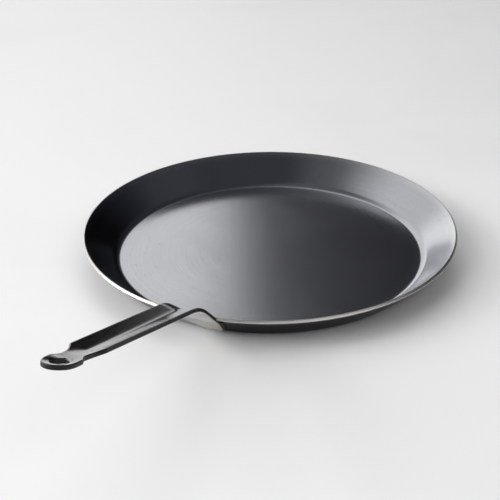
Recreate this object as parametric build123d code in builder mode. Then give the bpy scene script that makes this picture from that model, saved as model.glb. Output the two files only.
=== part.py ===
from build123d import *
from math import cos, radians, sin, tan
import os

# A crepe pan of steel sheet with a welded strip handle, in millimetres and degrees.
# The origin is the middle of the flat underside, +Z is up and the handle runs along +X.
os.makedirs("parts", exist_ok=True)

# Pan: one pressed sheet with a flat base and a short flared wall
rim_diameter = 300.0
pan_height = 25.5
sheet = 2.5
wall_slope = 44.0
base_bend_radius = 10.0
rim_edge_round = 0.6

# Handle: one strip, seen from the side as a flange on the wall, a rise, a bend and a tail
strip_thickness = 2.9
flange_foot_width = 15.4
flange_rim_width = 20.4
flange_foot_height = 9.0
rise_slope = 40.9
rise_length = 55.0
bend_radius = 85.0
bend_width = 24.4
tail_slope = 20.4
tail_length = 199.1
tail_width = 21.6
trough_depth = 2.6
flange_bedding = 0.4

# Handle end: a waist behind square shoulders, then a rounded tongue with a hanging eye
shoulder_from_tip = 47.0
waist_from_tip = 28.5
waist_width = 14.2
tongue_width = 19.8
tongue_side_length = 18.5
nose_length = 14.0
eye_radius = 5.5
eye_margin = 6.2
eye_tip_radius = 0.9
eye_tip_distance = 6.5

# Welds: a bead along each side edge of the flange
bead_radius = 2.3
bead_end_gap = 1.0

# One overrun for every cut that passes through
cut_overrun = 6.0

# Pan outline, all from the sheet and the slope of the wall
rim_radius = rim_diameter / 2
wall_angle = radians(wall_slope)
rim_outer_height = pan_height - sheet * cos(wall_angle)
rim_inner_radius = rim_radius - sheet * sin(wall_angle)
base_corner_radius = rim_radius - rim_outer_height / tan(wall_angle)
floor_corner_radius = rim_inner_radius - (pan_height - sheet) / tan(wall_angle)


def rz(radius, height):
    """A point of the half section, by its radius and its height."""
    return (radius, height)


outer_corner = rz(base_corner_radius, 0)
outer_rim = rz(rim_radius, rim_outer_height)
inner_rim = rz(rim_inner_radius, pan_height)
inner_corner = rz(floor_corner_radius, sheet)

# Pan body, turned from its half section
with BuildPart() as pan_body:
    with BuildSketch(Plane.XZ) as pan_section:
        with BuildLine():
            Polyline(rz(0, 0), outer_corner, outer_rim, inner_rim, inner_corner, rz(0, sheet), close=True)
        make_face()
        by_radius = pan_section.vertices().sort_by(Axis.X)
        rim_corners = by_radius[-2:]
        fillet(rim_corners, rim_edge_round)
        base_corners = pan_section.vertices().filter_by(
            lambda v: abs(v.X - base_corner_radius) < sheet / 2 and v.Z < sheet / 2)
        fillet(base_corners, base_bend_radius + sheet)
        floor_corners = pan_section.vertices().filter_by(
            lambda v: abs(v.X - floor_corner_radius) < sheet / 2 and v.Z > sheet / 2)
        fillet(floor_corners, base_bend_radius)
    revolve(axis=Axis.Z)

# The space that the pan fills, hollow included: the strip and the beads are cut back to it
with BuildPart() as pan_envelope:
    with BuildSketch(Plane.XZ) as envelope_section:
        with BuildLine():
            Polyline(rz(0, 0), outer_corner, outer_rim, inner_rim, rz(0, pan_height), close=True)
        make_face()
        envelope_rim = envelope_section.vertices().sort_by(Axis.X)[-1]
        fillet(envelope_rim, rim_edge_round)
        envelope_base = envelope_section.vertices().filter_by(
            lambda v: abs(v.X - base_corner_radius) < sheet / 2 and v.Z < sheet / 2)
        fillet(envelope_base, base_bend_radius + sheet)
    revolve(axis=Axis.Z)

# Side path of the strip's upper edges, in the XZ plane
rise_angle = radians(rise_slope)
tail_angle = radians(tail_slope)
foot_run = (rim_outer_height - flange_foot_height) / tan(wall_angle)
bedding_x = flange_bedding * sin(wall_angle)
bedding_z = flange_bedding * cos(wall_angle)
foot_point = Vector(rim_radius - foot_run - bedding_x, 0, flange_foot_height + bedding_z)
rim_point = Vector(rim_radius - bedding_x, 0, rim_outer_height + bedding_z)
corner_point = rim_point + Vector(cos(rise_angle), 0, sin(rise_angle)) * rise_length
tip_point = corner_point + Vector(cos(tail_angle), 0, sin(tail_angle)) * tail_length
bend_trim = bend_radius * tan((rise_angle - tail_angle) / 2)
bend_start = corner_point - Vector(cos(rise_angle), 0, sin(rise_angle)) * bend_trim
bend_end = corner_point + Vector(cos(tail_angle), 0, sin(tail_angle)) * bend_trim
bend_centre = bend_start + Vector(sin(rise_angle), 0, -cos(rise_angle)) * bend_radius

# The flange wraps the cone of the wall, so its edges stand a little above its middle
cone_curve_radius = rim_radius / sin(wall_angle)


def wrap_depth(width):
    """How far the cone falls away over half of a width."""
    return (width / 2) ** 2 / (2 * cone_curve_radius)


def path_plane(point, slope):
    """A plane square to the path, with the strip's width along its x."""
    return Plane(origin=point, x_dir=(0, 1, 0), z_dir=(cos(radians(slope)), 0, sin(radians(slope))))


foot_plane = path_plane(foot_point, wall_slope)
rim_plane = path_plane(rim_point, (wall_slope + rise_slope) / 2)
bend_start_plane = path_plane(bend_start, rise_slope)
bend_end_plane = path_plane(bend_end, tail_slope)
tip_plane = path_plane(tip_point, tail_slope)


def strip_section(plane, width, depth):
    """The strip's section: raised edges and a rounded valley, all of one thickness."""
    half = width / 2
    with BuildSketch(plane) as section:
        with BuildLine():
            upper = ThreePointArc((-half, 0), (0, -depth), (half, 0))
            right = Line(upper @ 1, (half, -strip_thickness))
            lower = ThreePointArc(right @ 1, (0, -depth - strip_thickness), (-half, -strip_thickness))
            Line(lower @ 1, upper @ 0)
        make_face()
    return section.sketch


foot_section = strip_section(foot_plane, flange_foot_width, wrap_depth(flange_foot_width))
rim_section = strip_section(rim_plane, flange_rim_width, wrap_depth(flange_rim_width))
bend_start_section = strip_section(bend_start_plane, bend_width, trough_depth)
bend_end_section = strip_section(bend_end_plane, bend_width, trough_depth)
tip_section = strip_section(tip_plane, tail_width, trough_depth)

# The flange by itself, which the beads are fitted to
with BuildPart() as flange_block:
    loft([foot_section, rim_section], ruled=True)

# Handle strip: straight lofts between its sections, and a turned bend
with BuildPart() as handle:
    loft([foot_section, rim_section], ruled=True)
    loft([rim_section, bend_start_section], ruled=True)
    revolve(bend_start_section, axis=Axis(bend_centre, (0, 1, 0)), revolution_arc=rise_slope - tail_slope)
    loft([bend_end_section, tip_section], ruled=True)

    # The waist and the tongue are cut along the tail's own plane, x running to the tip
    tail_plane = Plane(origin=tip_point, x_dir=(cos(tail_angle), 0, sin(tail_angle)),
                       z_dir=(-sin(tail_angle), 0, cos(tail_angle)))
    tongue_half = tongue_width / 2
    waist_half = waist_width / 2
    beyond = tail_width / 2 + cut_overrun
    with BuildSketch(tail_plane) as end_trim:
        with BuildLine():
            shoulder = (-shoulder_from_tip, tail_width / 2)
            waist = (-waist_from_tip, waist_half)
            scallop = TangentArc(waist, shoulder, tangent=(-1, 0))
            flare = Spline(waist, (-tongue_side_length, tongue_half), tangents=((1, 0), (1, 0)))
            Line(flare @ 1, (-nose_length, tongue_half))
            EllipticalCenterArc((-nose_length, 0), nose_length, tongue_half, start_angle=0, end_angle=90,
                                angular_direction=AngularDirection.COUNTER_CLOCKWISE)
            Polyline((0, 0), (cut_overrun, 0), (cut_overrun, beyond), (-shoulder_from_tip, beyond), shoulder)
        make_face()
        mirror(about=Plane.XZ)
    extrude(amount=trough_depth + strip_thickness + cut_overrun, both=True, mode=Mode.SUBTRACT)

    # Hanging eye: a teardrop that points back along the handle
    with BuildSketch(tail_plane):
        with Locations((-eye_margin - eye_radius, 0)):
            Circle(eye_radius)
        with Locations((-eye_margin - eye_radius - eye_tip_distance, 0)):
            Circle(eye_tip_radius)
        make_hull()
    extrude(amount=trough_depth + strip_thickness + cut_overrun, both=True, mode=Mode.SUBTRACT)

    # The flange lies face to face on the wall
    add(pan_envelope.part, mode=Mode.SUBTRACT)


def bead_end(share, side):
    """A point on a side edge of the flange, at the wall: share 0 is the foot and 1 the rim."""
    point = foot_point + (rim_point - foot_point) * share
    half = (flange_foot_width + (flange_rim_width - flange_foot_width) * share) / 2
    lift = wrap_depth(2 * half) - flange_bedding
    return Vector(point.X + lift * sin(wall_angle), side * half, point.Z + lift * cos(wall_angle))


def bead_line(side):
    """The root of one bead, short of both ends of the flange's edge by the same gap."""
    lower, upper = bead_end(0, side), bead_end(1, side)
    along = (upper - lower).normalized()
    return lower + along * bead_end_gap, upper - along * bead_end_gap


# Weld beads: round-ended rods in the corner between the flange's edge and the wall, cut back to both
bead_parts = {}
for bead_name, side in (("weld_bead_left", 1), ("weld_bead_right", -1)):
    root_start, root_end = bead_line(side)
    bead_length = (root_end - root_start).length
    bead_plane = Plane(origin=root_start, x_dir=root_end - root_start, z_dir=(0, -1, 0))
    with BuildPart() as bead:
        with BuildSketch(bead_plane):
            with BuildLine():
                first_end = TangentArc((0, 0), (bead_radius, bead_radius), tangent=(0, 1))
                back = Line(first_end @ 1, (bead_length - bead_radius, bead_radius))
                second_end = TangentArc(back @ 1, (bead_length, 0), tangent=(1, 0))
                Line(second_end @ 1, (0, 0))
            make_face()
        revolve(axis=Axis(root_start, root_end - root_start))
        add(pan_envelope.part, mode=Mode.SUBTRACT)
        add(flange_block.part, mode=Mode.SUBTRACT)
    bead_parts[bead_name] = bead.part

pan_body.part.label = "pan_body"
export_step(pan_body.part, "parts/pan_body.step")
handle.part.label = "handle"
export_step(handle.part, "parts/handle.step")
for bead_name, bead_part in bead_parts.items():
    bead_part.label = bead_name
    export_step(bead_part, f"parts/{bead_name}.step")

print("handle tip", tip_point, "rim inner radius", rim_inner_radius)
print("floor corner radius", floor_corner_radius, "base corner radius", base_corner_radius)
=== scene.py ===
import math
import bpy
import numpy as np
from mathutils import Matrix, Vector


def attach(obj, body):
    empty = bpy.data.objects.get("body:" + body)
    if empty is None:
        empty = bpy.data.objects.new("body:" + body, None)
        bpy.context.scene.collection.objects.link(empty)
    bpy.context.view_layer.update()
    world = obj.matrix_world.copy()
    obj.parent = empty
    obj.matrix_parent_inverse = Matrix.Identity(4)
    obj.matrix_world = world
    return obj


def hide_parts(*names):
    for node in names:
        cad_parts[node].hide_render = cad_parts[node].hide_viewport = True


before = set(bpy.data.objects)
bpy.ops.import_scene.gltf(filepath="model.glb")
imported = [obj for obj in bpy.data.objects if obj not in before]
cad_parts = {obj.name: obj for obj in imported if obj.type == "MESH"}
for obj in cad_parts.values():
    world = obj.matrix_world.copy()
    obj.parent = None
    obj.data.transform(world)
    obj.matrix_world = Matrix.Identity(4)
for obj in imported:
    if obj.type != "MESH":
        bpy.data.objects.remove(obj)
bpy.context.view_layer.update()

# A steel crepe pan with a welded strip handle. Metres; the origin is the middle of the
# underside, +Z is up and the handle runs along +X. Sizes repeat the model's own, except that
# RIM_ROUND, TROUGH and BEAD_R differ from them a little.
MM = 0.001

# Pan: CREASE is the inside radius of the bend between floor and wall
RIM_RADIUS = 150 * MM
PAN_HEIGHT = 25.5 * MM
SHEET = 2.5 * MM
WALL = math.radians(44)
CREASE = 10 * MM
RIM_ROUND = 0.55 * MM
RIM_OUTER_Z = PAN_HEIGHT - SHEET * math.cos(WALL)
RIM_INNER_R = RIM_RADIUS - SHEET * math.sin(WALL)
BASE_CORNER_R = RIM_RADIUS - RIM_OUTER_Z / math.tan(WALL)
FLOOR_CORNER_R = RIM_INNER_R - (PAN_HEIGHT - SHEET) / math.tan(WALL)

# Handle strip: half widths, and edges that lean in at the top
STRIP = 2.9 * MM
FOOT_HALF, RIM_HALF, BEND_HALF, TIP_HALF = 7.7 * MM, 10.2 * MM, 12.2 * MM, 10.8 * MM
FOOT_Z = 9 * MM
BEDDING = 0.4 * MM
RISE, TAIL = math.radians(40.9), math.radians(20.4)
BEND_RADIUS = 85 * MM
RISE_LENGTH, TAIL_LENGTH = 55 * MM, 199.1 * MM
FOLD_FROM, FOLD_TO = -2 * MM, 3 * MM
EDGE_ROUND, UNDER_ROUND, EDGE_LEAN = 0.8 * MM, 0.45 * MM, 0.7 * MM
CONE_RADIUS = RIM_RADIUS / math.sin(WALL)

# Trough: how round its valley is on the wall, and how much of that it loses
TROUGH = 2.9 * MM
VALLEY_ROUND, ROUND_LOST = 1.6, 1.4
# How far past S_BEND the trough is at its deepest and at its sharpest
DEEP_AT, SHARP_AT = 4 * MM, 10 * MM

# Handle end, measured back from the tip
SHOULDER, WAIST, SIDE_START, JOIN = -47 * MM, -28.5 * MM, -18.5 * MM, -27 * MM
NOSE = 14 * MM
WAIST_HALF, TONGUE_HALF = 7.1 * MM, 9.9 * MM
EYE_R, EYE_X, EYE_POINT_R, EYE_REACH = 5.5 * MM, -11.7 * MM, 0.9 * MM, 6.5 * MM
EYE_ROUND, EYE_TAPER = 0.6 * MM, 0.8 * MM

# The trough fades out from FLAT_MARGIN before the shoulder to FLAT_MARGIN after the waist
FLAT_MARGIN = 1 * MM

# The tongue's dish: its level, its raised sides and nose, and the hollow round the eye
TONGUE_LEVEL, DISH_SINK = -1.4 * MM, 0.3 * MM
SIDE_LIFT, SIDE_POWER = 0.7 * MM, 2.5
NOSE_LIFT, NOSE_LIFT_FROM = 0.4 * MM, -7 * MM
EYE_SINK, EYE_SPREAD = 0.5 * MM, 1.25

# Welds: BEAD_SINK is how far a bead may reach into the wall
BEAD_R, BEAD_GAP, BEAD_SINK = 2.2 * MM, 1.0 * MM, 0.6 * MM
BEAD_SHARE, BEAD_SHEAR, END_POWER = 0.93, 0.5 * MM, 14
RIPPLE, RIPPLE_STEP = 0.07, 2.1 * MM
SWELL, SWELL_STEP = 0.03, 5.3 * MM

# Heat tint round the welds, where y is negative on the far side; the near side's fuller share is
# painted shade
PAN_HEAT, HANDLE_HEAT, FAR_HEAT_AND_SHADE = 11 * MM, 8 * MM, 0.35
MIDDLE = 2 * MM
# How far round the far weld the outside is left without its painted shade
UNSHADED_REACH = 24 * MM

# How far past the flange bare steel ends, lacquer is full and the side faces are full
BARE_TO, LACQUER_FROM, SIDE_FROM = 5 * MM, 8 * MM, 14 * MM
# The share of a normal along the upper face's own, below and above which a side face ends
SIDE_BELOW, SIDE_ABOVE = 0.4, 0.8
# The cut rim fades between these distances from its middle
CUT_TO, CUT_PAST = 1.05 * MM, 1.6 * MM
# The outside's painted shade fades between these places in the sheet, measured out from
# the wall's outer line
OUTER_FROM, OUTER_FULL = -1.6 * MM, -1.1 * MM
RIM_MARGIN, UNDERSIDE = 0.1 * MM, 1 * MM

# Meshes: how many points or rings each run has, and how near points are merged
PATH_POINTS = 6000
PAN_TURNS, SECTION_STEP, ARC_POINTS = 420, 6 * MM, 9
FLANGE_RINGS, RISE_RINGS, BEND_RINGS, TAIL_RINGS, SCALLOP_RINGS = 24, 34, 20, 90, 30
PAST_FOLD = 4 * MM
AT_SHOULDER = np.array([-0.5, -0.2, 0, 0.2, 0.5, 1.0]) * MM
BEFORE_SHOULDER, AFTER_SHOULDER, LEAN_ENDS = 1 * MM, 1.5 * MM, 2 * MM
TOP_COLUMNS, EDGE_POINTS, WAIST_POINTS, SIDE_POINTS, NOSE_POINTS = 29, 5, 20, 6, 56
RAY_POINTS, RAY_CROWDING = 16, 1.2
BEAD_RINGS, BEAD_TURNS = 120, 40
MERGE_WITHIN = 2e-6


def smooth(x, low, high):
    """An S-shaped ramp from 0 at low to 1 at high: 3t^2 - 2t^3."""
    t = np.clip((x - low) / (high - low), 0, 1)
    return t * t * (3 - 2 * t)


def quads(rows, cols, close_rows, close_cols, start):
    """Corner numbers of a grid's quads, as one array; a closed direction joins its last line
    to its first."""
    r = np.arange(rows if close_rows else rows - 1)
    c = np.arange(cols if close_cols else cols - 1)
    i, j = np.meshgrid(r, c, indexing="ij")
    i2, j2 = (i + 1) % rows, (j + 1) % cols
    corners = [i * cols + j, i2 * cols + j, i2 * cols + j2, i * cols + j2]
    return start + np.stack(corners, -1).reshape(-1, 4)


def make_piece(name, sheets, stands_for):
    """One closed mesh from grids (points, close_rows, close_cols, turned): points nearer than
    MERGE_WITHIN are joined, faces that shrink to a line go, all faces are turned over where the
    volume inside them comes out negative, and what is left gets smooth shading."""
    points, faces, start = [], [], 0
    for grid, close_rows, close_cols, turned in sheets:
        rows, cols = grid.shape[:2]
        q = quads(rows, cols, close_rows, close_cols, start)
        faces.append(q[:, ::-1] if turned else q)
        points.append(grid.reshape(-1, 3))
        start += rows * cols
    points, faces = np.concatenate(points), np.concatenate(faces)
    keys = np.round(points / MERGE_WITHIN).astype(np.int64)
    _, first, back = np.unique(keys, axis=0, return_index=True, return_inverse=True)
    points, faces = points[first], back.reshape(-1)[faces]
    same = faces == np.roll(faces, -1, axis=1)
    shrunk = same.sum(1)
    whole = faces[shrunk == 0]
    thin = faces[shrunk == 1][~same[shrunk == 1]].reshape(-1, 3)
    triangles = np.concatenate([whole[:, [0, 1, 2]], whole[:, [0, 2, 3]], thin])
    p, q, r = (points[triangles[:, k]] for k in range(3))
    if (np.cross(p, q) * r).sum() < 0:
        whole, thin = whole[:, ::-1], thin[:, ::-1]
    mesh = bpy.data.meshes.new(name)
    mesh.from_pydata(points.tolist(), [], whole.tolist() + thin.tolist())
    mesh.validate()
    mesh.polygons.foreach_set("use_smooth", np.ones(len(mesh.polygons), bool))
    mesh.update()
    piece = bpy.data.objects.new(name, mesh)
    bpy.context.scene.collection.objects.link(piece)
    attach(piece, "root")
    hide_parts(stands_for)
    return piece


def paint(piece, name, values):
    """Stores one number a vertex under that attribute name."""
    layer = piece.data.attributes.new(name, "FLOAT", "POINT")
    layer.data.foreach_set("value", np.asarray(values, np.float32))


def per_vertex(piece, what):
    """The mesh's "co" or "normal" of each vertex, as rows of x, y and z."""
    flat = np.empty(len(piece.data.vertices) * 3)
    piece.data.vertices.foreach_get(what, flat)
    return flat.reshape(-1, 3)


def rounded(corners, radii):
    """A polyline with each inner corner turned into an arc that touches both of its sides."""
    out = [np.array(corners[0], float)[None]]
    for before, here, after, radius in zip(corners, corners[1:], corners[2:], radii):
        before, here, after = (np.array(p, float) for p in (before, here, after))
        a, b = before - here, after - here
        a, b = a / np.linalg.norm(a), b / np.linalg.norm(b)
        half = math.acos(np.clip(a @ b, -1, 1)) / 2
        middle = here + (a + b) / np.linalg.norm(a + b) * radius / math.sin(half)
        p = here + a * radius / math.tan(half) - middle
        q = here + b * radius / math.tan(half) - middle
        turn = math.pi - 2 * half
        t = np.linspace(0, 1, ARC_POINTS)[:, None]
        out.append(middle + (np.sin((1 - t) * turn) * p + np.sin(t * turn) * q) / math.sin(turn))
    out.append(np.array(corners[-1], float)[None])
    return np.concatenate(out)


def filled(line, step):
    """The line with points added so that none of its runs is longer than step."""
    out = []
    for a, b in zip(line, line[1:]):
        n = max(1, int(np.ceil(np.linalg.norm(b - a) / step)))
        out.append(a + (b - a) * np.arange(n)[:, None] / n)
    return np.concatenate(out + [line[-1:]])


def pan_surface():
    """The half section (radius, height) turned about Z: point = (r cos a, r sin a, z)."""
    section = rounded(
        [(0, SHEET), (FLOOR_CORNER_R, SHEET), (RIM_INNER_R, PAN_HEIGHT),
         (RIM_RADIUS, RIM_OUTER_Z), (BASE_CORNER_R, 0), (0, 0)],
        [CREASE, RIM_ROUND, RIM_ROUND, CREASE + SHEET])
    section = filled(section, SECTION_STEP)
    a = np.linspace(0, 2 * math.pi, PAN_TURNS, endpoint=False)[:, None]
    r, z = section[:, 0][None], section[:, 1][None]
    return np.stack([r * np.cos(a), r * np.sin(a), z + 0 * a], -1)


# The strip's path, from the flange's foot to the tip, as x, z and slope at each s
FOOT_RUN = (RIM_OUTER_Z - FOOT_Z) / math.tan(WALL)
foot = np.array([RIM_RADIUS - FOOT_RUN - BEDDING * math.sin(WALL),
                 FOOT_Z + BEDDING * math.cos(WALL)])
FLANGE = FOOT_RUN / math.cos(WALL)
BEND_TRIM = BEND_RADIUS * math.tan((RISE - TAIL) / 2)
S_BEND = FLANGE + RISE_LENGTH - BEND_TRIM
S_TAIL = S_BEND + BEND_RADIUS * (RISE - TAIL)
S_TIP = S_TAIL + TAIL_LENGTH - BEND_TRIM
s_fine = np.linspace(0, S_TIP, PATH_POINTS)
slope_fine = WALL + (RISE - WALL) * smooth(s_fine, FLANGE + FOLD_FROM, FLANGE + FOLD_TO)
slope_fine = slope_fine + (TAIL - RISE) * np.clip((s_fine - S_BEND) / (S_TAIL - S_BEND), 0, 1)
step_fine = np.diff(s_fine)
mid_slope = (slope_fine[1:] + slope_fine[:-1]) / 2
x_fine = foot[0] + np.concatenate([[0], np.cumsum(np.cos(mid_slope) * step_fine)])
z_fine = foot[1] + np.concatenate([[0], np.cumsum(np.sin(mid_slope) * step_fine)])


def full_half(s):
    """Half of the strip's width before its end is trimmed: straight runs between its sections."""
    return np.interp(s, [0, FLANGE, S_BEND, S_TAIL, S_TIP],
                     [FOOT_HALF, RIM_HALF, BEND_HALF, BEND_HALF, TIP_HALF])


def strip_height(s, v):
    """The upper face against the line of its edges: a valley d (1 - shape(v)) deep, whose shape
    turns from a parabola on the wall to a rounded V on the tail, and then flattens to the
    tongue. The tongue is a shallow dish, sunk a little more round the eye."""
    half = full_half(s)
    share = np.clip(np.abs(v) / half, 0, 1.2)
    wrap = half ** 2 / (2 * CONE_RADIUS)
    depth = wrap + (TROUGH - wrap) * smooth(s, FLANGE, S_BEND + DEEP_AT)
    soft = VALLEY_ROUND - ROUND_LOST * smooth(s, FLANGE, S_BEND + SHARP_AT)
    valley = (np.sqrt(share ** 2 + soft ** 2) - soft) / (np.sqrt(1 + soft ** 2) - soft)
    u = s - S_TIP
    flat = smooth(u, SHOULDER - FLAT_MARGIN, WAIST + FLAT_MARGIN)
    from_eye = np.sqrt((u - EYE_X) ** 2 + v ** 2) / EYE_R
    dish = SIDE_LIFT * np.clip((np.abs(v) / TONGUE_HALF), 0, 1.1) ** SIDE_POWER
    dish = dish + NOSE_LIFT * smooth(u, NOSE_LIFT_FROM, 0)
    dish = dish - EYE_SINK * np.exp(-(from_eye / EYE_SPREAD) ** 4)
    tongue = TONGUE_LEVEL - DISH_SINK + dish
    return -depth * (1 - valley) * (1 - flat) + tongue * flat


def strip_point(s, v, depth):
    """A point of the strip: along the path by s, across by v, and depth under the upper face."""
    s = np.minimum(s, S_TIP)
    x, z = np.interp(s, s_fine, x_fine), np.interp(s, s_fine, z_fine)
    a = np.interp(s, s_fine, slope_fine)
    h = strip_height(s, v) - depth
    return np.stack([x - np.sin(a) * h, v + 0 * x, z + np.cos(a) * h], -1)


def cut_half(u):
    """Half of the trimmed width near the end: a circle's arc from the shoulder in to the waist,
    then an S-shaped flare out to the tongue."""
    rise = TIP_HALF + (BEND_HALF - TIP_HALF) * SHOULDER / (S_TAIL - S_TIP) - WAIST_HALF
    run = WAIST - SHOULDER
    arc = (run ** 2 + rise ** 2) / (2 * rise)
    inner = WAIST_HALF + arc - np.sqrt(np.maximum(arc ** 2 - (WAIST - u) ** 2, 0))
    flare = WAIST_HALF + (TONGUE_HALF - WAIST_HALF) * smooth(u, WAIST, SIDE_START)
    return np.where(u < WAIST, inner, flare)


def edge_rows(radius_top, radius_under):
    """(inset, depth) pairs round an edge: an arc over the upper corner, then one under it."""
    t = np.linspace(0, math.pi / 2, EDGE_POINTS)
    over = np.stack([radius_top * (1 - np.sin(t)), radius_top * (1 - np.cos(t))], -1)
    under = np.stack([radius_under * (1 - np.cos(t)),
                      STRIP - radius_under * (1 - np.sin(t))], -1)
    return np.concatenate([over, under])


def tongue_outline():
    """The tongue's outline as (u, v), with its inward normals: one side, the nose (half an
    ellipse) and the other side."""
    u_side = np.concatenate([np.linspace(JOIN, SIDE_START, WAIST_POINTS)[:-1],
                             np.linspace(SIDE_START, -NOSE, SIDE_POINTS)])
    side = np.stack([u_side, cut_half(u_side)], -1)
    t = np.linspace(0, math.pi, NOSE_POINTS)[1:-1]
    nose = np.stack([-NOSE + NOSE * np.sin(t), TONGUE_HALF * np.cos(t)], -1)
    outline = np.concatenate([side, nose, side[::-1] * [1, -1]])
    tangent = np.gradient(outline, axis=0)
    tangent[0], tangent[-1] = (1, 0), (-1, 0)
    normal = np.stack([tangent[:, 1], -tangent[:, 0]], -1)
    return outline, normal / np.linalg.norm(normal, axis=1)[:, None]


def eye_line(outer, grow):
    """Where each ray from the eye's middle to a point of outer meets the eye's outline: a round
    end and a small round point joined by their tangents, made larger by grow."""
    away = outer - [EYE_X, 0]
    a = np.arctan2(np.abs(away[:, 1]), -away[:, 0])
    lean = math.acos((EYE_R - EYE_POINT_R) / EYE_REACH)
    big, small = EYE_R + grow, EYE_POINT_R + grow
    straight = big / np.cos(np.minimum(np.abs(a - lean), 1.4))
    touch = math.atan2(small * math.sin(lean), EYE_REACH + small * math.cos(lean))
    beyond = np.maximum(small ** 2 - (EYE_REACH * np.sin(a)) ** 2, 0)
    point = EYE_REACH * np.cos(a) + np.sqrt(beyond)
    r = np.where(a > lean, big, np.where(a > touch, straight, point))
    return np.array([EYE_X, 0]) + away / np.linalg.norm(away, axis=1)[:, None] * r[:, None]


def lift(flat, depth):
    """Flat (u, v) points put on the strip at that depth."""
    return strip_point(S_TIP + flat[..., 0], flat[..., 1], depth)


def strip_body(rows, top):
    """The strip up to JOIN, as rings round its section: over the top, down one edge, back
    underneath and up the other edge. With its end cap at the foot."""
    s_join, s_shoulder = S_TIP + JOIN, S_TIP + SHOULDER
    s = np.concatenate([
        np.linspace(0, FLANGE + PAST_FOLD, FLANGE_RINGS),
        np.linspace(FLANGE + PAST_FOLD, S_BEND, RISE_RINGS)[1:],
        np.linspace(S_BEND, S_TAIL, BEND_RINGS)[1:],
        np.linspace(S_TAIL, s_shoulder - BEFORE_SHOULDER, TAIL_RINGS)[1:],
        s_shoulder + AT_SHOULDER,
        np.linspace(s_shoulder + AFTER_SHOULDER, s_join, SCALLOP_RINGS)])
    half = np.where(s <= s_shoulder, full_half(s), cut_half(s - S_TIP))
    lean_out = smooth(s, s_shoulder, s_join - LEAN_ENDS)
    lean = EDGE_LEAN * smooth(s, FLANGE, S_BEND) * (1 - lean_out)
    leaning = lean[:, None] * (0.5 - rows[None, :, 1] / STRIP)
    v_right = half[:, None] - rows[None, :, 0] - leaning
    v_top = top[None] * v_right[:, :1]
    v_under = -top[None] * v_right[:, -1:]
    v_left = -v_right[:, ::-1]
    v = np.concatenate([v_top, v_right[:, 1:], v_under[:, 1:-1], v_left[:, :-1]], 1)
    d = np.concatenate([0 * top, rows[1:, 1], STRIP + 0 * top[1:-1], rows[::-1, 1][:-1]])
    body = strip_point(s[:, None] + 0 * v, v, d[None] + 0 * v)
    middle = body[0].mean(0) + 0 * body[0]
    return [(body, False, True, False), (np.stack([body[0], middle]), False, True, True)]


def strip_sheets():
    """The handle's grids. Up to JOIN: strip_body. Past it: rays from the eye's outline out to
    the tongue's outline, above and below, the eye's wall, and the tongue's outer edge."""
    rows = edge_rows(EDGE_ROUND, UNDER_ROUND)
    top = np.linspace(-1, 1, TOP_COLUMNS)
    outline, normal = tongue_outline()
    last_half = cut_half(np.array([JOIN]))[0]

    def ring_line(inset):
        """The outline moved in by inset, closed along the join by the section's own points."""
        across = top * (last_half - inset)
        join = np.stack([np.full(TOP_COLUMNS - 2, JOIN), across[1:-1]], -1)
        return np.concatenate([outline + normal * inset, join])

    top_outer, low_outer = ring_line(EDGE_ROUND), ring_line(UNDER_ROUND)

    def rays(outer, grow):
        """Grid of points from the eye's outline to the outer line, closer near the eye."""
        start = eye_line(top_outer, grow)
        t = np.linspace(0, 1, RAY_POINTS) ** RAY_CROWDING
        return start[:, None] + (outer - start)[:, None] * t[None, :, None]

    wall = np.stack([lift(eye_line(top_outer, inset - EYE_TAPER * depth / STRIP), depth)
                     for inset, depth in edge_rows(EYE_ROUND, EYE_ROUND)], 1)
    edge = np.stack([lift(outline + normal * inset, depth) for inset, depth in rows], 1)
    return strip_body(rows, top) + [
        (lift(rays(top_outer, EYE_ROUND), 0), True, False, False),
        (lift(rays(low_outer, EYE_ROUND - EYE_TAPER), STRIP), True, False, True),
        (wall, True, False, True), (edge, False, False, False)]


def flange_edge(side):
    """Both ends of a side edge of the flange, at the foot and at the rim; side is 1 or -1."""
    low = np.array([foot[0], side * FOOT_HALF, foot[1]])
    return low, strip_point(np.array(FLANGE), np.array(side * RIM_HALF), np.array(0.0))


def bead_surface(side):
    """A rod along the flange's side edge: radius R (1 + ripple), closed by round ends, and
    flattened where it lies inside the wall."""
    low, high = flange_edge(side)
    axis = high - low
    length = np.linalg.norm(axis)
    axis /= length
    up = np.array([-math.sin(WALL), 0, math.cos(WALL)])
    out = np.cross(up, axis) * side
    out /= np.linalg.norm(out)
    up = np.cross(axis, out) * side
    t = np.linspace(0, 1, BEAD_RINGS)
    end = np.sqrt(np.clip(1 - (np.abs(t - 0.5) * 2) ** END_POWER, 0, 1))
    along = BEAD_GAP + t * (length - 2 * BEAD_GAP)
    ripple = 1 + RIPPLE * np.abs(np.sin(along / RIPPLE_STEP * math.pi))
    ripple = ripple + SWELL * np.sin(along / SWELL_STEP + side)
    a = np.linspace(0, 2 * math.pi, BEAD_TURNS, endpoint=False)
    shear = BEAD_SHEAR * np.cos(a)[None] ** 2 * end[:, None]
    radius = (BEAD_R * BEAD_SHARE * ripple * end)[:, None]
    lateral = radius * np.cos(a)[None]
    normal = np.minimum(radius * np.sin(a)[None], BEAD_SINK)
    place = low + axis * (along[:, None, None] + shear[..., None])
    return place + lateral[..., None] * out + normal[..., None] * up


def from_welds(points):
    """Distance to the nearer weld line, in metres: the handle is mirrored, so |y| is used."""
    low, high = flange_edge(1)
    line = high - low
    p = points * [1, 0, 1] + np.abs(points) * [0, 1, 0]
    t = np.clip(((p - low) @ line) / (line @ line), 0, 1)
    return np.linalg.norm(p - low - t[:, None] * line, axis=1)


def paint_heat_and_shade(piece, reach):
    """A mask of heat tint: e^-(d / reach)^2 at distance d from the welds, and on the far side only
    a share of that. The near side's fuller share is painted shade."""
    points = per_vertex(piece, "co")
    share = FAR_HEAT_AND_SHADE + (1 - FAR_HEAT_AND_SHADE) * smooth(points[:, 1], -MIDDLE, MIDDLE)
    paint(piece, "heat", np.exp(-(from_welds(points) / reach) ** 2) * share)


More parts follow.
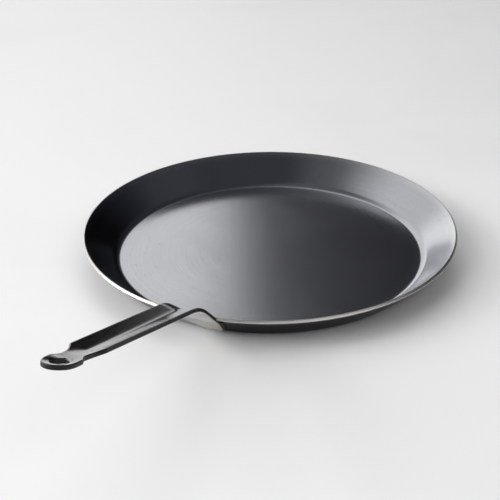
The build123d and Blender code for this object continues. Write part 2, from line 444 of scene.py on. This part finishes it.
def paint_handle():
    """"bare" is the flange without lacquer, by the distance from its foot. "side" is the strip's
    side faces past the flange: there the normal lies across the upper face's own."""
    points, normals = per_vertex(handle, "co"), per_vertex(handle, "normal")
    along = np.hypot(points[:, 0] - foot[0], points[:, 2] - foot[1])
    slope = np.interp(points[:, 0], x_fine, slope_fine)
    facing = np.abs(normals[:, 2] * np.cos(slope) - normals[:, 0] * np.sin(slope))
    past_flange = smooth(along, FLANGE + LACQUER_FROM, FLANGE + SIDE_FROM)
    paint(handle, "bare", 1 - smooth(along, FLANGE + BARE_TO, FLANGE + LACQUER_FROM))
    paint(handle, "side", (1 - smooth(facing, SIDE_BELOW, SIDE_ABOVE)) * past_flange)


def paint_pan():
    """"edge" is the cut rim, by the distance from the cut's middle. The other mask marks the
    underside and the outer wall for painted shade, by the distance out from the wall's outer line,
    apart from a patch round the weld on the far side that is left without it."""
    points = per_vertex(pan, "co")
    radius, height = np.hypot(points[:, 0], points[:, 1]), points[:, 2]
    from_cut = np.hypot(radius - (RIM_RADIUS + RIM_INNER_R) / 2,
                        height - (PAN_HEIGHT + RIM_OUTER_Z) / 2)
    out_from_wall = (radius - BASE_CORNER_R) * math.sin(WALL) - height * math.cos(WALL)
    outer_wall = smooth(out_from_wall, OUTER_FROM, OUTER_FULL)
    outer_wall = outer_wall * (height < RIM_OUTER_Z + RIM_MARGIN)
    outside_shade = np.maximum(outer_wall, height < UNDERSIDE)
    far_side = 1 - smooth(points[:, 1], -MIDDLE, MIDDLE)
    unshaded_patch = far_side * np.exp(-(from_welds(points) / UNSHADED_REACH) ** 4)
    paint(pan, "edge", 1 - smooth(from_cut, CUT_TO, CUT_PAST))
    paint(pan, "outside_shade", outside_shade * (1 - unshaded_patch))


pan = make_piece("pan_body_steel", [(pan_surface(), True, False, False)],
                 "pan_body")
handle = make_piece("handle_strip", strip_sheets(), "handle")
welds = [make_piece("weld_bead_left_steel", [(bead_surface(1), False, True, False)],
                    "weld_bead_left"),
         make_piece("weld_bead_right_steel", [(bead_surface(-1), False, True, True)],
                    "weld_bead_right")]
paint_heat_and_shade(pan, PAN_HEAT)
paint_heat_and_shade(handle, HANDLE_HEAT)
paint_handle()
paint_pan()


# Node helpers
class Tree:
    """Adds nodes to one node tree; links are given as sockets."""

    def __init__(self, tree):
        self.tree = tree

    def feed(self, made, values):
        """Links each input that is given a socket, and sets each that is given a value."""
        for key, value in values.items():
            if isinstance(value, bpy.types.NodeSocket):
                self.tree.links.new(value, made.inputs[key])
            else:
                made.inputs[key].default_value = value

    def node(self, kind, values=None, **settings):
        made = self.tree.nodes.new(kind)
        for key, value in settings.items():
            setattr(made, key, value)
        self.feed(made, values or {})
        return made

    def group(self, group, values):
        """The first output of a node group."""
        return self.node("ShaderNodeGroup", values, node_tree=group).outputs[0]

    def math(self, operation, a, b=0.0, clamp=False):
        settings = {"operation": operation, "use_clamp": clamp}
        return self.node("ShaderNodeMath", {0: a, 1: b}, **settings).outputs[0]

    def add_up(self, base, *parts):
        """Base plus each mask times its amount."""
        for mask, amount in parts:
            base = self.math("ADD", base, self.math("MULTIPLY", mask, amount))
        return base

    def noise(self, vector, scale, detail=2.0, roughness=0.5, distortion=0.0):
        """Noise from 0 to 1, with about scale lumps to the metre."""
        return self.node("ShaderNodeTexNoise", {
            "Vector": vector, "Scale": scale, "Detail": detail, "Roughness": roughness,
            "Distortion": distortion}).outputs["Fac"]

    def ramp(self, value, low, high, to_low=0.0, to_high=1.0):
        return self.node("ShaderNodeMapRange", {
            "Value": value, "From Min": low, "From Max": high, "To Min": to_low,
            "To Max": to_high}).outputs["Result"]

    def soft(self, value, starts, full):
        """A smooth step from 0 to 1, which may also run downwards."""
        return self.node("ShaderNodeMapRange",
                         {"Value": value, "From Min": starts, "From Max": full},
                         interpolation_type="SMOOTHSTEP").outputs["Result"]

    def blend(self, factor, a, b):
        """Colour a turned to colour b by the factor."""
        a, b = ((*c, 1) if isinstance(c, tuple) else c for c in (a, b))
        return self.node("ShaderNodeMix", {0: factor, 6: a, 7: b}, data_type="RGBA").outputs[2]

    def attribute(self, name):
        return self.node("ShaderNodeAttribute", attribute_name=name).outputs["Fac"]

    def bump(self, height, strength, distance, normal=None):
        values = {"Height": height, "Strength": strength, "Distance": distance}
        if normal is not None:
            values["Normal"] = normal
        return self.node("ShaderNodeBump", values).outputs["Normal"]


def new_group(name, inputs, output, build):
    """A shader node group with a vector input called Place, float inputs and a float output."""
    group = bpy.data.node_groups.new(name, "ShaderNodeTree")
    group.interface.new_socket("Place", in_out="INPUT", socket_type="NodeSocketVector")
    for label, value in inputs.items():
        made = group.interface.new_socket(label, in_out="INPUT", socket_type="NodeSocketFloat")
        made.default_value = value
    group.interface.new_socket(output, in_out="OUTPUT", socket_type="NodeSocketFloat")
    t = Tree(group)
    start = t.node("NodeGroupInput")
    t.node("NodeGroupOutput", {output: build(t, start.outputs)})
    return group


# The groups' own values
FINER, COARSE_SHARE, FINE_SHARE = 3.4, 0.6, 0.4
NOISE_LOW, NOISE_HIGH = 0.3, 0.7
MARKS_ROUND, OFF_AXIS = 2.0, 0.0001
MARK_LEVEL, SPREAD_SHARE, MARK_CONTRAST = 0.62, 0.3, 4.0


def grain_nodes(t, given):
    """Fine grain: two noises, one of the given size and one FINER than that, mixed and
    stretched from 0 to 1."""
    scale = t.math("DIVIDE", 1.0, given["Size"])
    coarse = t.noise(given["Place"], scale, detail=3.0)
    fine = t.noise(given["Place"], t.math("MULTIPLY", scale, FINER))
    both = t.add_up(t.math("MULTIPLY", coarse, COARSE_SHARE), (fine, FINE_SHARE))
    return t.ramp(both, NOISE_LOW, NOISE_HIGH)


def ring_nodes(t, given):
    """Turned marks: noise that is narrow from ring to ring and long round the Z axis. The place
    round the axis is taken as (x, y) over the radius, so the marks meet themselves."""
    x, y, z = t.node("ShaderNodeSeparateXYZ", {0: given["Place"]}).outputs
    squares = t.math("ADD", t.math("POWER", x, 2.0), t.math("POWER", y, 2.0))
    radius = t.math("ADD", t.math("SQRT", squares), OFF_AXIS)
    outward = t.math("DIVIDE", t.math("ADD", radius, z), given["Size"])
    round_place = t.node("ShaderNodeCombineXYZ", {
        0: t.math("MULTIPLY", t.math("DIVIDE", x, radius), MARKS_ROUND),
        1: t.math("MULTIPLY", t.math("DIVIDE", y, radius), MARKS_ROUND), 2: outward}).outputs[0]
    return t.ramp(t.noise(round_place, 1.0, detail=3.0), NOISE_LOW, NOISE_HIGH)


def smudge_nodes(t, given):
    """Handling marks: wide soft patches, 0 clean to 1 marked, wider with more Spread."""
    scale = t.math("DIVIDE", 1.0, given["Size"])
    wide = t.noise(given["Place"], scale, detail=4.0, roughness=0.6, distortion=0.6)
    low = t.math("SUBTRACT", MARK_LEVEL, t.math("MULTIPLY", given["Spread"], SPREAD_SHARE))
    return t.math("MULTIPLY", t.math("SUBTRACT", wide, low), MARK_CONTRAST, clamp=True)


grain = new_group("fine_grain", {"Size": 0.001}, "Grain", grain_nodes)
rings = new_group("turned_marks", {"Size": 0.001}, "Ring", ring_nodes)
smudge = new_group("handling_marks", {"Size": 0.05, "Spread": 0.5}, "Mark", smudge_nodes)

# Colours of the surfaces
WHITE = (1, 1, 1)
STEEL_LOW, STEEL_HIGH = (0.51, 0.52, 0.546), (0.60, 0.61, 0.64)
STEEL_TURNED, STEEL_MARKED = (0.46, 0.47, 0.493), (0.49, 0.50, 0.523)
# The outside's colour and grazing tint are painted shade, for the shaded table under the wall
OUTSIDE_PAINTED_SHADE, OUTSIDE_SHADE_TINT = (0.09, 0.09, 0.092), (0.42, 0.42, 0.42)
STEEL_CUT = (0.80, 0.785, 0.76)
# The blackest heat tints, on pan and flange, are heat scale and by the near weld painted shade
HEAT_BROWN, HEAT_BLACK_AND_SHADE = (0.30, 0.20, 0.11), (0.035, 0.03, 0.03)
LACQUER_LOW, LACQUER_HIGH = (0.003, 0.003, 0.0035), (0.010, 0.010, 0.011)
STRAW_LOW, STRAW_HIGH, STRAW_BURNT_AND_SHADE = (0.36, 0.34, 0.29), (0.46, 0.42, 0.34), (0.10, 0.06, 0.03)
SCALE_BLACK, SCALE_BROWN = (0.02, 0.018, 0.017), (0.07, 0.04, 0.022)
SCALE_PITS = (0.012, 0.012, 0.013)
FLOOR_CLEAN, FLOOR_MARKED = (0.9, 0.9, 0.895), (0.87, 0.87, 0.868)


def new_material(name):
    """A material with its tree, its shader and the piece's own coordinates."""
    made = bpy.data.materials.new(name)
    made.use_nodes = True
    made.node_tree.nodes.clear()
    t = Tree(made.node_tree)
    shader = t.node("ShaderNodeBsdfPrincipled")
    t.node("ShaderNodeOutputMaterial", {"Surface": shader.outputs[0]})
    place = t.node("ShaderNodeTexCoord").outputs["Object"]
    return made, t, shader, place


def pan_steel():
    """Bare rolled steel: grey and glossy, with faint turned marks, a bright cut rim and the tints
    of welding, darker by the near weld as painted shade, and painted shade on the outside."""
    made, t, shader, place = new_material("pan_steel")
    fine = t.group(grain, {"Place": place, "Size": 0.0012})
    turned = t.group(rings, {"Place": place, "Size": 0.0009})
    marks = t.group(smudge, {"Place": place, "Size": 0.07, "Spread": 0.6})
    edge, heat, outside_shade = t.attribute("edge"), t.attribute("heat"), t.attribute("outside_shade")
    colour = t.blend(fine, STEEL_LOW, STEEL_HIGH)
    colour = t.blend(t.math("MULTIPLY", turned, 0.3), colour, STEEL_TURNED)
    colour = t.blend(t.math("MULTIPLY", marks, 0.3), colour, STEEL_MARKED)
    # Painted shade: the outside is darkened, here and in its grazing reflection below
    colour = t.blend(outside_shade, colour, OUTSIDE_PAINTED_SHADE)
    colour = t.blend(edge, colour, STEEL_CUT)
    uneven = t.math("SUBTRACT", t.noise(place, 1 / 0.004), 0.5)
    tint = t.add_up(heat, (uneven, 0.5))
    colour = t.blend(t.ramp(tint, low=0.08, high=0.35), colour, HEAT_BROWN)
    # Black by the near weld: heat scale and painted shade
    colour = t.blend(t.ramp(tint, low=0.3, high=0.6), colour, HEAT_BLACK_AND_SHADE)
    rough = t.add_up(0.148, (fine, 0.02), (turned, 0.02), (marks, 0.025),
                     (edge, 0.25), (heat, 0.25))
    rolled = t.bump(turned, strength=0.06, distance=0.00003)
    t.feed(shader, {
        "Base Color": colour, "Metallic": 1.0, "Roughness": rough,
        "Specular Tint": t.blend(outside_shade, WHITE, OUTSIDE_SHADE_TINT),
        "Normal": t.bump(fine, strength=0.15, distance=0.00005, normal=rolled)})
    return made


def black_lacquer():
    """Black lacquer over pressed steel: a light orange peel, dull side faces, and bare steel
    with a straw tint on the welded flange, darkest by the near weld: heat tint and painted shade."""
    made, t, shader, place = new_material("handle_black")
    peel = t.group(grain, {"Place": place, "Size": 0.0015})
    marks = t.group(smudge, {"Place": place, "Size": 0.03, "Spread": 0.5})
    heat, bare, side = t.attribute("heat"), t.attribute("bare"), t.attribute("side")
    straw = t.blend(t.noise(place, 1 / 0.006, detail=3.0), STRAW_LOW, STRAW_HIGH)
    # Burnt dark by the near weld: heat tint and painted shade
    straw = t.blend(t.ramp(heat, low=0.4, high=0.8), straw, STRAW_BURNT_AND_SHADE)
    t.feed(shader, {
        "Base Color": t.blend(bare, t.blend(peel, LACQUER_LOW, LACQUER_HIGH), straw),
        "Metallic": bare, "Roughness": t.add_up(0.12, (marks, 0.05), (bare, 0.1), (side, 0.4)),
        "Coat Weight": t.math("SUBTRACT", 1.0, t.math("MAXIMUM", side, bare)),
        "Coat Roughness": 0.1, "Normal": t.bump(peel, strength=0.28, distance=0.00012)})
    return made


def weld_steel():
    """Weld metal left as it cooled: dark scale with brown patches, pitted."""
    made, t, shader, place = new_material("weld_steel")
    pits = t.group(grain, {"Place": place, "Size": 0.0009})
    scale = t.noise(place, 1 / 0.0045, detail=4.0)
    colour = t.blend(t.ramp(scale, low=0.45, high=0.7), SCALE_BLACK, SCALE_BROWN)
    pitted = t.ramp(pits, low=0.6, high=1.0, to_high=0.6)
    t.feed(shader, {
        "Base Color": t.blend(pitted, colour, SCALE_PITS), "Metallic": 0.8,
        "Roughness": t.ramp(scale, low=0.3, high=0.7, to_low=0.42, to_high=0.62),
        "Normal": t.bump(pits, strength=0.5, distance=0.0003)})
    return made


pan.data.materials.append(pan_steel())
handle.data.materials.append(black_lacquer())
weld_metal = weld_steel()
for weld in welds:
    weld.data.materials.append(weld_metal)

# Camera: the photo's view, turned HANDLE_TURN from the handle's own direction
# LENS and SENSOR are in millimetres, and its other angles are in radians.
HANDLE_TURN = math.radians(17.4)
CAMERA_BACK, CAMERA_UP = 0.8984826, 0.4789626
CAMERA_DOWN, CAMERA_YAW, CAMERA_ROLL = 0.4872193, -0.0178105, -0.0124140
LENS, SENSOR = 90, 36
CLIP_NEAR, CLIP_FAR = 0.05, 50
FLOOR_HALF, FLOOR_ROUGH = 2.2, 0.45

# Lamps: name, azimuth, elevation, width and height in degrees, radiance, seen in gloss
# Azimuth runs from straight away from the camera to the right.
PANEL_DISTANCE = 3.0
PANELS = [
    ("key_panel", -97, 27, 34, 18, 6.6, True),
    ("upper_key_panel", -128, 40, 42, 24, 4.2, False),
    ("top_panel", 0, 78, 50, 50, 0.85, False),
    ("front_fill_panel", 152, 38, 70, 22, 1.35, True),
    ("right_fill_panel", 112, 50, 29.8, 20, 1.2, False),
    ("back_fill_panel", 6, 20, 15, 38, 2.0, False)]

# Soft boxes that the steel reflects: a window in azimuth, one in elevation, and the radiance
# Each window is in degrees, as (starts, full from, full to, ends).
SOFT_BOXES = [
    ((-66, -46, -3.0, -0.9), (-2, -1, 12, 24), 1.2),
    ((-125, -92, -3.0, -0.9), (12, 24, 38, 62), 0.75),
    ((-42, -22, -3.0, -0.9), (12, 24, 34, 48), 0.18),
    ((-8, -4, 0, 12), (10, 20, 40, 60), 0.04),
    ((-160, -120, -20, 20), (40, 55, 75, 89), 0.08),
    ((50, 75, 95, 120), (32, 44, 54, 64), 0.02)]

# The sky behind them is dark near the ground and lighter overhead
SKY_LOW, SKY_MIDDLE = (0.002, 0.002, 0.0025), (0.034, 0.036, 0.044)
SKY_TOP = (0.048, 0.051, 0.060)
MIDDLE_FROM, MIDDLE_FULL, TOP_FROM, TOP_FULL = 15, 48, 45, 75
BACKDROP = (0.84, 0.84, 0.84, 1)


def seen(right, away, up):
    """A direction or place in the scene from its parts to the view's right, away from it and up."""
    sin, cos = math.sin(HANDLE_TURN), math.cos(HANDLE_TURN)
    return Vector((-right * sin - away * cos, right * cos - away * sin, up))


def set_camera():
    """The camera's axes: forward is turned by the yaw and tipped down, then all roll about it."""
    yaw, down = CAMERA_YAW, CAMERA_DOWN
    forward = seen(math.sin(yaw) * math.cos(down), math.cos(yaw) * math.cos(down),
                   -math.sin(down))
    level = seen(math.cos(yaw), -math.sin(yaw), 0)
    upright = level.cross(forward)
    sin, cos = math.sin(CAMERA_ROLL), math.cos(CAMERA_ROLL)
    right, up = cos * level + sin * upright, -sin * level + cos * upright
    lens = bpy.data.cameras.new("photo_camera")
    lens.lens, lens.sensor_width = LENS, SENSOR
    lens.clip_start, lens.clip_end = CLIP_NEAR, CLIP_FAR
    camera = bpy.data.objects.new("photo_camera", lens)
    turn = Matrix((right, up, -forward)).transposed().to_4x4()
    camera.matrix_world = Matrix.Translation(seen(0, -CAMERA_BACK, CAMERA_UP)) @ turn
    bpy.context.scene.collection.objects.link(camera)
    bpy.context.scene.camera = camera


def add_panel(name, azimuth, elevation, wide, high, radiance, in_gloss):
    """A soft rectangular lamp that faces the pan from PANEL_DISTANCE away. Its power is radiance
    times pi times its area. The lamps that only light the table stay out of the gloss."""
    a, e = math.radians(azimuth), math.radians(elevation)
    face = seen(math.sin(a) * math.cos(e), math.cos(a) * math.cos(e), math.sin(e))
    there = face * PANEL_DISTANCE
    lamp = bpy.data.lights.new(name, "AREA")
    lamp.shape = "RECTANGLE"
    lamp.size = 2 * PANEL_DISTANCE * math.tan(math.radians(wide / 2))
    lamp.size_y = 2 * PANEL_DISTANCE * math.tan(math.radians(high / 2))
    lamp.energy = radiance * math.pi * lamp.size * lamp.size_y
    across = Vector((0, 0, 1)).cross(face).normalized()
    turn = Matrix((across, face.cross(across), face)).transposed().to_4x4()
    panel = bpy.data.objects.new(name, lamp)
    panel.matrix_world = Matrix.Translation(there) @ turn
    panel.visible_glossy = in_gloss
    bpy.context.scene.collection.objects.link(panel)


def add_floor():
    """A plain pale floor under the pan."""
    h = FLOOR_HALF
    mesh = bpy.data.meshes.new("floor")
    mesh.from_pydata([(-h, -h, 0), (h, -h, 0), (h, h, 0), (-h, h, 0)], [], [(0, 1, 2, 3)])
    floor = bpy.data.objects.new("floor", mesh)
    bpy.context.scene.collection.objects.link(floor)
    made, t, shader, place = new_material("pale_floor")
    marks = t.group(smudge, {"Place": place, "Size": 0.3, "Spread": 0.5})
    t.feed(shader, {"Base Color": t.blend(marks, FLOOR_CLEAN, FLOOR_MARKED),
                    "Roughness": FLOOR_ROUGH})
    mesh.materials.append(made)


def soft_box(t, azimuth, elevation, across, upward, radiance):
    """Radiance times a smooth window in azimuth and one in elevation, as SOFT_BOXES says."""
    value = radiance
    for angle, (starts, full, last, ends) in ((azimuth, across), (elevation, upward)):
        value = t.math("MULTIPLY", value, t.soft(angle, starts, full))
        value = t.math("MULTIPLY", value, t.soft(angle, ends, last))
    return value


def set_world():
    """The soft boxes and the sky behind them, and a pale backdrop for the camera alone, where it
    looks past the floor."""
    world = bpy.data.worlds.new("studio")
    bpy.context.scene.world = world
    world.use_nodes = True
    world.node_tree.nodes.clear()
    t = Tree(world.node_tree)
    direction = t.node("ShaderNodeTexCoord").outputs["Generated"]
    upwards = t.node("ShaderNodeSeparateXYZ", {0: direction}).outputs["Z"]
    right, away = (
        t.node("ShaderNodeVectorMath", {0: direction, 1: axis},
               operation="DOT_PRODUCT").outputs["Value"]
        for axis in (seen(1, 0, 0), seen(0, 1, 0)))
    azimuth = t.math("DEGREES", t.math("ARCTAN2", right, away))
    elevation = t.math("DEGREES", t.math("ARCSINE", upwards))
    light = 0.0
    for across, upward, radiance in SOFT_BOXES:
        box = soft_box(t, azimuth, elevation, across, upward, radiance)
        light = t.math("ADD", light, box)
    sky = t.blend(t.soft(elevation, MIDDLE_FROM, MIDDLE_FULL), SKY_LOW, SKY_MIDDLE)
    sky = t.blend(t.soft(elevation, TOP_FROM, TOP_FULL), sky, SKY_TOP)
    dim = t.node("ShaderNodeBackground", {"Color": sky})
    lit = t.node("ShaderNodeBackground", {"Color": (1, 1, 1, 1), "Strength": light})
    both = t.node("ShaderNodeAddShader", {0: dim.outputs[0], 1: lit.outputs[0]})
    pale = t.node("ShaderNodeBackground", {"Color": BACKDROP})
    ray = t.node("ShaderNodeLightPath").outputs["Is Camera Ray"]
    mix = t.node("ShaderNodeMixShader", {0: ray, 1: both.outputs[0], 2: pale.outputs[0]})
    t.node("ShaderNodeOutputWorld", {"Surface": mix.outputs[0]})


set_camera()
add_floor()
set_world()
for panel in PANELS:
    add_panel(*panel)
bpy.context.scene.view_settings.view_transform = "Standard"
